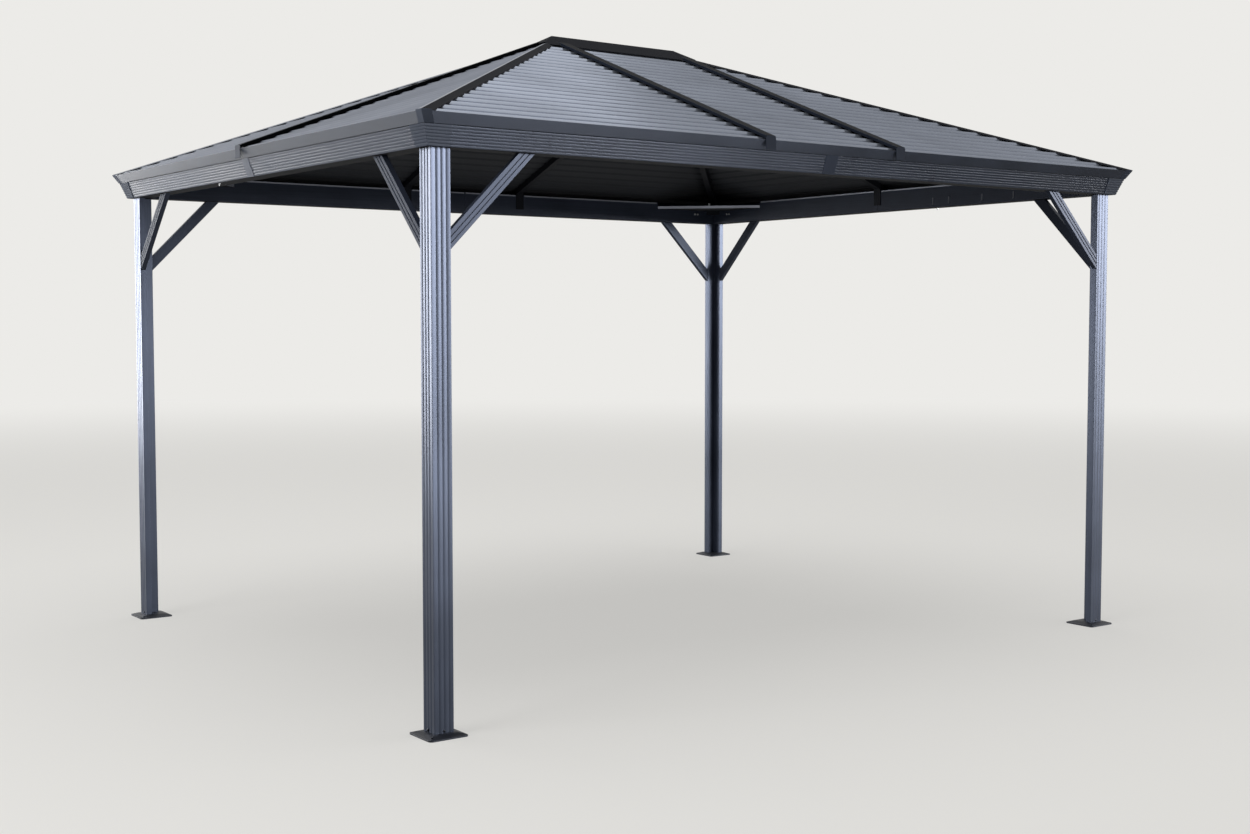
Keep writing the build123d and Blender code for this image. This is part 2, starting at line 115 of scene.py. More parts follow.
class GazeboColours(bpy.types.PropertyGroup):
    """Colours of the coatings"""
    frame_coat: colour("Frame coat", "Powder coat on posts, braces and beams", "#363c4a")
    foot_coat: colour("Foot coat", "Powder coat on the cast feet and hubs", "#0f1015")
    band_coat: colour("Eave band coat", "Paint on the smooth steel band round the eave", "#2b303b")
    sheet_coat: colour("Roof sheet coat", "Paint on the upper side of the long slopes' sheets", "#70757f")
    # A shade darker than the long slopes' paint, as painted shade
    end_coat: colour("End sheet coat", "Paint on the short slopes' sheets, a shade duller", "#686c75")
    # A real primer, given near black as painted shade for the underside of the roof
    backing_coat_and_shade: colour("Backing coat", "Thin primer on the underside of the roof sheets", "#191c22")
    # Near black as painted shade, for the dark look of the caps' front and back faces
    cap_shade: colour("Cap coat", "Matt paint on the hip and ridge caps", "#141519")
    # The seam caps' black is painted shade; the foot screws' black is their own
    screw_black_and_seam_shade: colour("Seal", "Rubber of the seam caps and black of the foot screws", "#0b0c0e")
    tab_coat: colour("Tab coat", "Matt paint on the eave's corner tabs and covers", "#444a57")
    strip_coat: colour("Strip coat", "Paint on the hip caps' flanges over the short slopes", "#565b66")
    # Nearly black as painted shade: rafters, tie plates and the beams' undersides lie in the roof's shade
    rafter_coat_and_shade: colour("Rafter coat", "Powder coat on rafters, plates and undersides", "#0c0d10")
    # Light grey as a painted highlight on the tie plates' lips and the hems; the spring clips' own grey
    lip: colour("Lip", "Rubbed edge of the tie plates, clips and hems", "#7b7e87")
    zinc: colour("Zinc", "Bright zinc plating on nuts and bolts", "#b9bbbd")
    floor: colour("Floor", "Studio floor and backdrop", "#ecebe8")


class GazeboSizes(bpy.types.PropertyGroup):
    """Sizes of edges and fasteners"""
    post_edge: length("Post edge", "Radius of the edges of posts and feet", 0.0012)
    rib_edge: length("Rib edge", "Radius of the edges of the ribbed extrusions", 0.0006)
    fold_edge: length("Fold edge", "Radius of the folds in thin sheet", 0.0003)
    sheet_fold: length("Sheet fold", "Radius of the folds of the roof ribs", 0.0015)
    screw_head: length("Screw head", "Diameter of a pan head", 0.010)
    bolt_head: length("Bolt head", "Width of a hexagon head across its corners", 0.015)
    clip_width: length("Clip width", "Width of a spring clip along its beam", 0.006)


class GazeboStudio(bpy.types.PropertyGroup):
    """The camera and the lights"""
    camera_place: bpy.props.FloatVectorProperty(
        name="Camera place", description="Where the camera stands", subtype="TRANSLATION", unit="LENGTH",
        default=(-4.3505, -6.0563, 1.3863))
    camera_turn: bpy.props.FloatProperty(
        name="Camera turn", description="How far the camera looks to the right of straight ahead",
        subtype="ANGLE", default=radians(36.077))
    camera_tilt: bpy.props.FloatProperty(
        name="Camera tilt", description="How far the camera looks down", subtype="ANGLE",
        default=radians(3.411))
    lens: bpy.props.FloatProperty(
        name="Lens", description="Focal length on a 36 mm wide sensor", default=46.68, unit="CAMERA")
    sky: bpy.props.FloatProperty(
        name="Sky", description="Strength of the even light from all round", default=0.5)
    key: bpy.props.FloatProperty(
        name="Key", description="Radiance of the main softbox", default=3.3)
    strips: bpy.props.FloatProperty(
        name="Strips", description="Radiance of the tall strips that the posts mirror", default=10.0)
    cards: bpy.props.FloatProperty(
        name="Cards", description="Radiance of the low cards that the eave mirrors", default=5.0)


def add(tree, kind, inputs=None, **settings):
    """A shader node with its settings, and its inputs set to values or linked to sockets."""
    node = tree.nodes.new(kind)
    for key, value in settings.items():
        setattr(node, key, value)
    for key, value in (inputs or {}).items():
        if isinstance(value, bpy.types.NodeSocket):
            tree.links.new(value, node.inputs[key])
        else:
            node.inputs[key].default_value = value
    return node


def new_material(name):
    """An empty node material and its tree."""
    material = bpy.data.materials.new(name)
    material.use_nodes = True
    material.node_tree.nodes.clear()
    return material, material.node_tree


def drifting_film(tree, place, size, roughness):
    """Noise that stands for a film's changing thickness: the tone and the roughness that follow it."""
    drift = add(tree, "ShaderNodeTexNoise", {"Vector": place, "Scale": 1 / size, "Detail": 3.0}).outputs[0]
    tone = add(tree, "ShaderNodeMapRange", {"Value": drift, **NOISE_RANGE, **TONE_RANGE}).outputs[0]
    rough = add(tree, "ShaderNodeMapRange", {
        "Value": drift, **NOISE_RANGE, "To Min": roughness - 0.03, "To Max": roughness + 0.04}).outputs[0]
    return tone, rough


def powder_coat(name, coat, roughness, metallic=0.0, shine=0.5, contrast=0.2, along=None):
    """Baked polyester powder with aluminium flake: a satin skin, with painted highlights on its sharp edges.

    The eye gets a soft sheen down the flutes, faint draw lines of the extrusion below it, a slow
    drift of tone along a length, and painted shade in the grooves beside painted highlights on the ridges.
    """
    material, tree = new_material(name)
    place = add(tree, "ShaderNodeTexCoord").outputs["Object"]
    # The film's thickness drifts over about 300 mm
    tone, rough = drifting_film(tree, place, 0.3, roughness)
    if along:
        # Draw lines are under 1 mm apart; drawn 3 mm apart so that they show
        grain = [0.01 if axis == along else 1.0 for axis in "xyz"]
        drawn = add(tree, "ShaderNodeMapping", {"Vector": place, "Scale": grain}).outputs[0]
        lines = add(tree, "ShaderNodeTexNoise", {
            "Vector": drawn, "Scale": 1 / (3 * MM), "Detail": 2.0}).outputs[0]
        line_tone = add(tree, "ShaderNodeMapRange", {
            "Value": lines, **NOISE_RANGE, "To Min": 0.88, "To Max": 1.12}).outputs[0]
        tone = add(tree, "ShaderNodeMath", {0: tone, 1: line_tone}, operation="MULTIPLY").outputs[0]
    # Painted shade and highlight: grooves are darkened and ridges lightened by how sharply the surface
    # bends, as far as contrast says
    bend = add(tree, "ShaderNodeNewGeometry").outputs["Pointiness"]
    edges = add(tree, "ShaderNodeMapRange", {
        "Value": bend, "From Min": 0.44, "From Max": 0.56,
        "To Min": 1 - contrast, "To Max": 1 + contrast}).outputs[0]
    tone = add(tree, "ShaderNodeMath", {0: tone, 1: edges}, operation="MULTIPLY").outputs[0]
    base = add(tree, "ShaderNodeMix", {0: 1.0, 6: coat, 7: tone}, **TINTED).outputs[2]
    # Orange peel is about 1.5 mm across; drawn at 4 mm so that it shows
    peel = add(tree, "ShaderNodeTexNoise", {
        "Vector": place, "Scale": 1 / (4 * MM), "Detail": 1.0}).outputs[0]
    bump = add(tree, "ShaderNodeBump", {"Height": peel, "Strength": 0.008, "Distance": 0.4 * MM}).outputs[0]
    shader = add(tree, "ShaderNodeBsdfPrincipled", {
        "Base Color": base, "Roughness": rough, "Metallic": metallic, "Specular IOR Level": shine,
        "Specular Tint": linear(COAT_TINT), "Normal": bump})
    add(tree, "ShaderNodeOutputMaterial", {"Surface": shader.outputs[0]})
    return material


def painted_sheet(name, coat, backing_and_shade, along, roughness, metallic, shine):
    """Coil-painted galvanised steel, roll-formed: smooth polyester outside, thin primer inside.

    The eye gets a silky gloss broken into long streaks, because sheet this thin is never quite
    flat between its ribs, and a dark underside: thin primer, made darker still as painted shade.
    """
    material, tree = new_material(name)
    place = add(tree, "ShaderNodeTexCoord").outputs
    # The paint's tone drifts over about 400 mm
    drift = add(tree, "ShaderNodeTexNoise", {
        "Vector": place["Object"], "Scale": 1 / 0.4, "Detail": 3.0}).outputs[0]
    tone = add(tree, "ShaderNodeMapRange", {"Value": drift, **NOISE_RANGE, **TONE_RANGE}).outputs[0]
    # Slack between the ribs: dents about 500 mm long and 70 mm wide, under 1 mm deep
    stretch = [70 / 500 if axis == along else 1.0 for axis in "xyz"]
    drawn = add(tree, "ShaderNodeMapping", {"Vector": place["Object"], "Scale": stretch}).outputs[0]
    slack = add(tree, "ShaderNodeTexNoise", {
        "Vector": drawn, "Scale": 1 / (70 * MM), "Detail": 2.0}).outputs[0]
    bump = add(tree, "ShaderNodeBump", {"Height": slack, "Strength": 0.3, "Distance": 1.0 * MM}).outputs[0]
    # Painted shade darkens the valleys beside the ribs, and a painted highlight lightens the ribs' crests
    bend = add(tree, "ShaderNodeNewGeometry").outputs["Pointiness"]
    ribs = add(tree, "ShaderNodeMapRange", {
        "Value": bend, "From Min": 0.45, "From Max": 0.55, "To Min": 0.35, "To Max": 1.65}).outputs[0]
    tone_and_painted_rib_shade = add(tree, "ShaderNodeMath", {0: tone, 1: ribs}, operation="MULTIPLY").outputs[0]
    outer = add(tree, "ShaderNodeMix", {0: 1.0, 6: coat, 7: tone_and_painted_rib_shade}, **TINTED).outputs[2]
    # The underside has the primer's colour, darkened as painted shade for the shade under the roof
    inner = add(tree, "ShaderNodeMix", {0: 1.0, 6: backing_and_shade, 7: tone}, **TINTED).outputs[2]
    polyester = add(tree, "ShaderNodeBsdfPrincipled", {
        "Base Color": outer, "Roughness": roughness, "Metallic": metallic, "Specular IOR Level": shine,
        "Specular Tint": linear(SHEET_TINT), "Normal": bump}).outputs[0]
    primer = add(tree, "ShaderNodeBsdfPrincipled", {
        "Base Color": inner, "Roughness": 0.75, "Specular IOR Level": 0.2}).outputs[0]
    upward = add(tree, "ShaderNodeSeparateXYZ", {"Vector": place["Normal"]}).outputs["Z"]
    above = add(tree, "ShaderNodeMapRange", {
        "Value": upward, "From Min": -0.05, "From Max": 0.05}).outputs[0]
    surface = add(tree, "ShaderNodeMixShader", {0: above, 1: primer, 2: polyester}).outputs[0]
    add(tree, "ShaderNodeOutputMaterial", {"Surface": surface})
    return material


def even_skin(name, coat, roughness, metallic=0.0, shine=0.03):
    """Sprayed paint on folded steel or blackened steel, and the painted-shade black of the seam caps: one
    thin, even skin.

    The eye gets a quiet tone that drifts a little, with a painted highlight on the very edge of a fold.
    """
    material, tree = new_material(name)
    place = add(tree, "ShaderNodeTexCoord").outputs["Object"]
    # The skin's tone drifts over about 250 mm
    tone, rough = drifting_film(tree, place, 0.25, roughness)
    # Painted highlight: the edges of folds are lightened, up to twice the tone, by how sharply the surface
    # bends
    bend = add(tree, "ShaderNodeNewGeometry").outputs["Pointiness"]
    edges = add(tree, "ShaderNodeMapRange", {
        "Value": bend, "From Min": 0.5, "From Max": 0.6, "To Min": 1.0, "To Max": 2.0}).outputs[0]
    tone = add(tree, "ShaderNodeMath", {0: tone, 1: edges}, operation="MULTIPLY").outputs[0]
    base = add(tree, "ShaderNodeMix", {0: 1.0, 6: coat, 7: tone}, **TINTED).outputs[2]
    # The skin's own texture is finer than 1 mm; drawn at 3 mm so that it shows
    skin = add(tree, "ShaderNodeTexNoise", {
        "Vector": place, "Scale": 1 / (3 * MM), "Detail": 1.0}).outputs[0]
    bump = add(tree, "ShaderNodeBump", {"Height": skin, "Strength": 0.008, "Distance": 0.3 * MM}).outputs[0]
    shader = add(tree, "ShaderNodeBsdfPrincipled", {
        "Base Color": base, "Roughness": rough, "Metallic": metallic, "Specular IOR Level": shine,
        "Specular Tint": linear(COAT_TINT), "Normal": bump})
    add(tree, "ShaderNodeOutputMaterial", {"Surface": shader.outputs[0]})
    return material


def zinc_plate(name, coat, roughness):
    """Zinc plating: a crystalline metal skin that the eye sees as bright, dulled in soft patches."""
    material, tree = new_material(name)
    place = add(tree, "ShaderNodeTexCoord").outputs["Object"]
    # Crystals are under 1 mm; drawn in patches of 4 mm so that they show
    patch = add(tree, "ShaderNodeTexVoronoi", {"Vector": place, "Scale": 1 / (4 * MM)}).outputs["Distance"]
    tone = add(tree, "ShaderNodeMapRange", {"Value": patch, "To Min": 0.8, "To Max": 1.05}).outputs[0]
    base = add(tree, "ShaderNodeMix", {0: 1.0, 6: coat, 7: tone}, **TINTED).outputs[2]
    rough = add(tree, "ShaderNodeMapRange", {
        "Value": patch, "To Min": roughness - 0.05, "To Max": roughness + 0.1}).outputs[0]
    shader = add(tree, "ShaderNodeBsdfPrincipled", {"Base Color": base, "Roughness": rough, "Metallic": 1.0})
    add(tree, "ShaderNodeOutputMaterial", {"Surface": shader.outputs[0]})
    return material


def mesh_piece(name, mesh):
    """A shown piece on the part's one body, from a bmesh that is then freed."""
    data = bpy.data.meshes.new(name)
    mesh.to_mesh(data)
    mesh.free()
    piece = bpy.data.objects.new(name, data)
    bpy.context.scene.collection.objects.link(piece)
    data.shade_smooth()
    data.set_sharp_from_angle(angle=radians(30))
    piece.modifiers.new("Even shading", "WEIGHTED_NORMAL").keep_sharp = True
    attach(piece, "root")
    return piece


def whole_faces(node):
    """A bmesh of a construction piece, with its facets joined into whole flat faces."""
    mesh = bmesh.new()
    mesh.from_mesh(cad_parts[node].data)
    bmesh.ops.remove_doubles(mesh, verts=mesh.verts, dist=WELD)
    bmesh.ops.dissolve_limit(mesh, angle_limit=radians(0.5), verts=mesh.verts, edges=mesh.edges)
    return mesh


def folded_edges(mesh, degrees):
    """The edges of a bmesh where two faces meet at more than an angle."""
    return [e for e in mesh.edges if len(e.link_faces) == 2 and e.calc_face_angle(0) > radians(degrees)]


def rounded_piece(node, ending, mesh, edges, radius):
    """The piece that stands for a construction piece, with some of its edges rounded."""
    bmesh.ops.bevel(mesh, geom=edges, offset=radius, offset_type="OFFSET", segments=2, profile=0.5,
                    affect="EDGES", clamp_overlap=True)
    piece = mesh_piece(node + ending, mesh)
    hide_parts(node)
    return piece


def rounded_copy(node, radius):
    """A copy of a construction piece with its sharp edges rounded, in place of the plain one."""
    mesh = whole_faces(node)
    return rounded_piece(node, "_rounded", mesh, folded_edges(mesh, degrees=35), radius)


def folded_ribs(node, radius):
    """A copy of a slope's sheets with the folds of the ribs rounded, in place of the plain ones."""
    mesh = whole_faces(node)
    # The thin cut faces along a sheet's outline stay sharp
    cut = {f for f in mesh.faces if f.calc_area() / max(e.calc_length() for e in f.edges) < 2 * MM}
    folds = [edge for edge in folded_edges(mesh, degrees=20) if not cut.intersection(edge.link_faces)]
    return rounded_piece(node, "_folded", mesh, folds, radius)


def paint(piece, material):
    """Give a piece its material."""
    piece.data.materials.clear()
    piece.data.materials.append(material)


def paint_faces(piece, material, chosen):
    """Give the faces of a piece that a test chooses a second material."""
    piece.data.materials.append(material)
    for face in piece.data.polygons:
        face.material_index = 1 if chosen(face) else 0


def looks_along_x(face):
    """Whether a face looks more to the left or right than to the front or back."""
    return abs(face.normal.x) > abs(face.normal.y)


def looks_along_y(face):
    """Whether a face looks more to the front or back than to the left or right."""
    return abs(face.normal.y) > abs(face.normal.x)


def looks_down(face):
    """Whether a face is part of a flat underside."""
    return face.normal.z < -0.9


def ends_seam(face):
    """Whether a face of a seam cap is part of its upright end at the eave."""
    corner = face.id_data.vertices[face.vertices[0]]
    return abs(face.normal.z) < 0.1 and corner.co.z < SEAM_END_TOP


def turned_up(face):
    """Whether a face of a tie plate is part of its turned-up lip."""
    return face.center.z > TIE_PLATE_TOP and abs(face.normal.z) < 0.9


class GAZEBO_OT_posts(bpy.types.Operator):
    """Round the edges of the posts and coat them"""
    bl_idname = "gazebo.posts"
    bl_label = "Posts"

    def execute(self, context):
        colours, sizes = context.scene.gazebo_colours, context.scene.gazebo_sizes
        # The flake shows most here: a long pale sheen that fades down the flutes
        coat = powder_coat("Powder-coated aluminium, upright", colours.frame_coat, roughness=0.34,
                           metallic=0.35, shine=0.5, contrast=0.05, along="z")
        for corner in CORNERS:
            paint(rounded_copy("post_" + corner, sizes.post_edge), coat)
        return {"FINISHED"}


class GAZEBO_OT_feet(bpy.types.Operator):
    """Round the edges of the cast feet and coat them"""
    bl_idname = "gazebo.feet"
    bl_label = "Feet"

    def execute(self, context):
        colours, sizes = context.scene.gazebo_colours, context.scene.gazebo_sizes
        # A nearly black satin casting
        coat = powder_coat("Powder-coated cast aluminium", colours.foot_coat, roughness=0.5)
        for corner in CORNERS:
            paint(rounded_copy("post_foot_" + corner, sizes.post_edge), coat)
        return {"FINISHED"}


class GAZEBO_OT_braces(bpy.types.Operator):
    """Round the edges of the knee braces and coat them"""
    bl_idname = "gazebo.braces"
    bl_label = "Knee braces"

    def execute(self, context):
        colours, sizes = context.scene.gazebo_colours, context.scene.gazebo_sizes
        # Dull bars, a little glossier on the faces that look to the front and back
        dull = powder_coat("Powder-coated aluminium bar", colours.frame_coat, roughness=0.5,
                           shine=0.03, contrast=0.35)
        glossy = powder_coat("Powder-coated aluminium bar, front", colours.frame_coat, roughness=0.35,
                             metallic=0.1, shine=0.15, contrast=0.35)
        for corner in CORNERS:
            piece = rounded_copy("knee_braces_" + corner, sizes.rib_edge)
            paint(piece, dull)
            paint_faces(piece, glossy, looks_along_y)
        return {"FINISHED"}


class GAZEBO_OT_beams(bpy.types.Operator):
    """Round the ribs of the eave beams and their covers and coat them"""
    bl_idname = "gazebo.beams"
    bl_label = "Eave beams"

    def execute(self, context):
        colours, sizes = context.scene.gazebo_colours, context.scene.gazebo_sizes
        # Satin ribs with painted shade in the grooves between them, and an underside painted near black as
        # painted shade
        along_x = powder_coat("Powder-coated aluminium beam, long", colours.frame_coat, roughness=0.3,
                              shine=0.16, contrast=0.35, along="x")
        along_y = powder_coat("Powder-coated aluminium beam, short", colours.frame_coat, roughness=0.42,
                              shine=0.08, contrast=0.35, along="y")
        dull = even_skin("Painted shade on an underside", colours.rafter_coat_and_shade, roughness=0.7)
        for side, coat in zip(SIDES, (along_x, along_y, along_x, along_y)):
            piece = rounded_copy("eave_beam_" + side, sizes.rib_edge)
            paint(piece, coat)
            paint_faces(piece, dull, looks_down)
        # The corner covers are darker than the beams, and matt where they look to the side
        dark = powder_coat("Powder-coated corner cover", colours.tab_coat, roughness=0.5,
                           shine=0.15, contrast=0.5)
        matt = even_skin("Matt-coated corner cover", colours.tab_coat, roughness=0.6)
        piece = rounded_copy("beam_corner_covers", sizes.fold_edge)
        paint(piece, dark)
        paint_faces(piece, matt, looks_along_x)
        smooth = even_skin("Powder-coated joint cover", colours.frame_coat, roughness=0.45, shine=0.04)
        paint(rounded_copy("beam_joint_covers", sizes.fold_edge), smooth)
        return {"FINISHED"}


class GAZEBO_OT_eave_band(bpy.types.Operator):
    """Round the folds of the smooth eave band and its corner tabs and paint them"""
    bl_idname = "gazebo.eave_band"
    bl_label = "Eave band"

    def execute(self, context):
        colours, sizes = context.scene.gazebo_colours, context.scene.gazebo_sizes
        # A smooth satin band that mirrors a little of the floor, with matt tabs
        band = even_skin("Painted galvanised steel band", colours.band_coat, roughness=0.35, shine=0.12)
        tab = even_skin("Painted galvanised steel tab", colours.tab_coat, roughness=0.6)
        for side in SIDES:
            paint(rounded_copy("eave_trim_" + side, sizes.fold_edge), band)
        paint(rounded_copy("eave_corner_covers", sizes.fold_edge), tab)
        return {"FINISHED"}


class GAZEBO_OT_roof(bpy.types.Operator):
    """Round the ribs of the roof sheets and paint them"""
    bl_idname = "gazebo.roof"
    bl_label = "Roof sheets"

    def execute(self, context):
        colours, sizes = context.scene.gazebo_colours, context.scene.gazebo_sizes
        # The long slopes are silky and mirror the sky; the short ones are rougher, and their paint a shade
        # darker as painted shade
        long_way = painted_sheet("Painted galvanised sheet, long", colours.sheet_coat, colours.backing_coat_and_shade,
                                 along="x", roughness=0.18, metallic=0.5, shine=0.5)
        short_way = painted_sheet("Painted galvanised sheet, short", colours.end_coat, colours.backing_coat_and_shade,
                                  along="y", roughness=0.6, metallic=0.0, shine=0.1)
        for side, sheet in zip(SIDES, (long_way, short_way, long_way, short_way)):
            paint(folded_ribs("roof_sheets_" + side, sizes.sheet_fold), sheet)
        return {"FINISHED"}


class GAZEBO_OT_caps(bpy.types.Operator):
    """Round the folds of the hip, seam and ridge caps and paint them"""
    bl_idname = "gazebo.caps"
    bl_label = "Caps"

    def execute(self, context):
        colours, sizes = context.scene.gazebo_colours, context.scene.gazebo_sizes
        # Hip and ridge caps are painted near black as painted shade, so they read as dark lines; a hip cap's
        # faces that look left and right take a paint close to the sheet's
        matt = even_skin("Steel cap in painted shade", colours.cap_shade, roughness=0.7)
        silky = even_skin("Painted galvanised flange", colours.strip_coat, roughness=0.35,
                          metallic=0.1, shine=0.4)
        for corner in CORNERS:
            piece = rounded_copy("hip_cap_" + corner, sizes.fold_edge)
            paint(piece, matt)
            paint_faces(piece, silky, looks_along_x)
        paint(rounded_copy("ridge_cap", sizes.fold_edge), matt)
        # Seam caps are black all over as painted shade, for the shadow under a raised cap, with an upright
        # painted end at the eave
        seam_shade = even_skin("Black painted shade of a seam cap", colours.screw_black_and_seam_shade, roughness=0.7, shine=0.05)
        ends = even_skin("Painted galvanised cap end", colours.band_coat, roughness=0.6)
        for side in SIDES:
            piece = rounded_copy("seam_caps_" + side, sizes.fold_edge)
            paint(piece, seam_shade)
            paint_faces(piece, ends, ends_seam)
        return {"FINISHED"}


class GAZEBO_OT_roof_frame(bpy.types.Operator):
    """Coat the rafters, hubs, ridge beam, brackets and tie plates"""
    bl_idname = "gazebo.roof_frame"
    bl_label = "Roof frame"

    def execute(self, context):
        colours, sizes = context.scene.gazebo_colours, context.scene.gazebo_sizes
        # Dull and nearly black: the coat darkened as painted shade, for all that lies in the roof's shade
        steel = powder_coat("Powder-coated steel tube", colours.rafter_coat_and_shade, roughness=0.6, shine=0.1)
        for name in ["rafters_" + side for side in SIDES] + ["hip_rafters", "ridge_beam", "rafter_brackets"]:
            paint(rounded_copy(name, sizes.rib_edge), steel)
        # The long edge of each tie plate is turned up, and its lip is painted light grey as a painted
        # highlight
        lip_highlight = even_skin("Steel lip in painted highlight", colours.lip, roughness=0.45, metallic=0.7, shine=0.5)
        plates = rounded_copy("corner_tie_plates", sizes.rib_edge)
        paint(plates, steel)
        paint_faces(plates, lip_highlight, turned_up)
        cast = powder_coat("Powder-coated cast hub", colours.foot_coat, roughness=0.5)
        paint(rounded_copy("ridge_hubs", sizes.post_edge), cast)
        return {"FINISHED"}


def search_tree(names):
    """A tree for ray casts over the faces of some construction pieces."""
    points, faces = [], []
    for name in names:
        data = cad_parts[name].data
        faces += [[len(points) + i for i in face.vertices] for face in data.polygons]
        points += [vertex.co.copy() for vertex in data.vertices]
    return BVHTree.FromPolygons(points, faces)


def seat(tree, start, toward):
    """The point where a line from start toward another point first meets the pieces of a tree."""
    place = tree.ray_cast(Vector(start), (Vector(toward) - Vector(start)).normalized())[0]
    if place is None:
        raise RuntimeError("Nothing carries a fastener in line with " + str(start))
    return place


def seat_facing(tree, start, toward):
    """A seat, and the direction back along the line that found it."""
    return seat(tree, start, toward), (Vector(start) - Vector(toward)).normalized()


def turn_part(mesh, place, axis, outline, sides, size=1.0):
    """Add a closed turned part, standing on a place along an axis, from its outline in mm."""
    turn = Vector(axis).to_track_quat("Z", "Y")
    steps = [2 * pi * i / sides for i in range(sides)]
    rings = [[mesh.verts.new(
        place + turn @ Vector((radius * cos(step), radius * sin(step), height)) * MM * size)
        for step in steps] for radius, height in outline]
    for low, high in zip(rings, rings[1:]):
        for i in range(sides):
            mesh.faces.new((low[i - 1], low[i], high[i], high[i - 1]))
    mesh.faces.new(rings[0][::-1])
    mesh.faces.new(rings[-1])


def roll_part(mesh, place, outward, section, width):
    """Add a length of a rolled section, centred on a place of an upright face, from its outline in mm."""
    outward = Vector(outward)
    along = outward.cross(Vector((0, 0, 1))) * width / 2
    ends = [[mesh.verts.new(place + outward * x * MM + Vector((0, 0, z * MM)) + end) for x, z in section]
            for end in (-along, along)]
    for i in range(len(section)):
        mesh.faces.new((ends[0][i - 1], ends[0][i], ends[1][i], ends[1][i - 1]))
    mesh.faces.new(ends[0][::-1])
    mesh.faces.new(ends[1])


def post_screws(head):
    """Pan-headed screws that pin each post to its foot, one in each outer face."""
    mesh, size = bmesh.new(), head / (2 * PAN_HEAD[0][0] * MM)
    posts = search_tree([kind + corner for kind in ("post_", "post_foot_") for corner in CORNERS])
    for x in (-1, 1):
        for y in (-1, 1):
            for start, toward in (
                    ((OUTSIDE * x, SCREW_Y * y, SCREW_HEIGHT), (0, SCREW_Y * y, SCREW_HEIGHT)),
                    ((SCREW_X * x, OUTSIDE * y, SCREW_HEIGHT), (SCREW_X * x, 0, SCREW_HEIGHT))):
                turn_part(mesh, *seat_facing(posts, start, toward), PAN_HEAD, sides=16, size=size)
    return mesh


def frame_bolts(head):
    """Bolts into the posts, through the tie plates and below the short beams."""
    mesh, size = bmesh.new(), head / (2 * HEX_HEAD[0][0] * MM)
    beams = search_tree(["eave_beam_" + side for side in SIDES])
    plates = search_tree(["corner_tie_plates"])
    for x in (-1, 1):
        for y in (-1, 1):
            # Two heads near the corner by the inner face of each beam, a thin washer's height off it
            for reach in BOLT_REACHES:
                across, ahead = (POST_X - reach) * x, (POST_Y - reach) * y
                for start, toward in (
                        ((INSIDE_X * x, ahead, BOLT_HEIGHT), (OUTSIDE * x, ahead, BOLT_HEIGHT)),
                        ((across, INSIDE_Y * y, BOLT_HEIGHT), (across, OUTSIDE * y, BOLT_HEIGHT))):
                    turn_part(mesh, *seat_facing(beams, start, toward), HEX_HEAD, 6, size * BEAM_BOLT)
            # The tie plate's own bolt, with its washer and nut
            spot = (PLATE_BOLT_X * x, PLATE_BOLT_Y * y)
            place = seat(plates, (*spot, ABOVE_PLATES), (*spot, 0))
            for outline, sides in ((WASHER, 24), (HEX_HEAD, 6), (BOLT_END, 16)):
                turn_part(mesh, place, (0, 0, 1), outline, sides, size * PLATE_BOLT)
        # A nut and a bolt's end below each short beam, a thin washer's height off it
        spot = (END_BOLT_X * x, -END_BOLT_Y * x)
        place = seat(beams, (*spot, BELOW_BEAMS), (*spot, ABOVE_BEAMS))
        for outline, sides in ((HEX_HEAD, 6), (BOLT_END, 12)):
            turn_part(mesh, place, (0, 0, -1), outline, sides, size * END_BOLT)
    return mesh


def beam_clips(width):
    """Spring clips along one half of each short beam's inner face."""
    mesh = bmesh.new()
    beams = search_tree(["eave_beam_" + side for side in SIDES])
    for x in (-1, 1):
        for along in CLIP_PLACES:
            start, toward = ((reach * x, along * x, CLIP_HEIGHT) for reach in (INSIDE_X, OUTSIDE))
            roll_part(mesh, seat(beams, start, toward), (-x, 0, 0), CLIP, width)
    return mesh


def upstand_hems():
    """Rolled hems along the tops of the beams' inner upstands."""
    mesh = bmesh.new()
    beams = search_tree(["eave_beam_" + side for side in SIDES])
    for spans, directions in ((HEM_SPANS_LONG, ((0, 1, 0), (0, -1, 0))),
                              (HEM_SPANS_SHORT, ((1, 0, 0), (-1, 0, 0)))):
        for outward in map(Vector, directions):
            for low, high in spans:
                start = outward.yxz * (low + high) / 2 + Vector((0, 0, UPSTAND_MIDDLE))
                place = seat(beams, start, start - outward) + Vector((0, 0, HEM_RISE))
                roll_part(mesh, place, outward, HEM, high - low - HEM_GAP)
    return mesh


class GAZEBO_OT_fasteners(bpy.types.Operator):
    """Seat the screws, bolts, clips and hems on the construction pieces that carry them"""
    bl_idname = "gazebo.fasteners"
    bl_label = "Fasteners"

    def execute(self, context):
        colours, sizes = context.scene.gazebo_colours, context.scene.gazebo_sizes
        # Black screws that hardly show, bright bolts that catch the light, and grey clips and hems
        black = even_skin("Blackened steel screw", colours.screw_black_and_seam_shade, roughness=0.4, shine=0.3)
        bright = zinc_plate("Zinc-plated steel", colours.zinc, roughness=0.3)
        grey = powder_coat("Grey-coated spring clip", colours.lip, roughness=0.5, shine=0.2)
        # The hems take the light grey of a painted highlight, for the lit top edge of each upstand
        satin = powder_coat("Powder-coated steel hem", colours.lip, roughness=0.4, metallic=0.3)
        for name, mesh, material, slot in (
                ("post_screws", post_screws(sizes.screw_head), black, "foot_casting"),
                ("frame_bolts", frame_bolts(sizes.bolt_head), bright, "rafter_coating"),
                ("beam_clips", beam_clips(sizes.clip_width), grey, "rafter_coating"),
                ("upstand_hems", upstand_hems(), satin, "frame_coating")):
            bmesh.ops.recalc_face_normals(mesh, faces=mesh.faces)
            paint(mesh_piece(name, mesh), material)
        return {"FINISHED"}


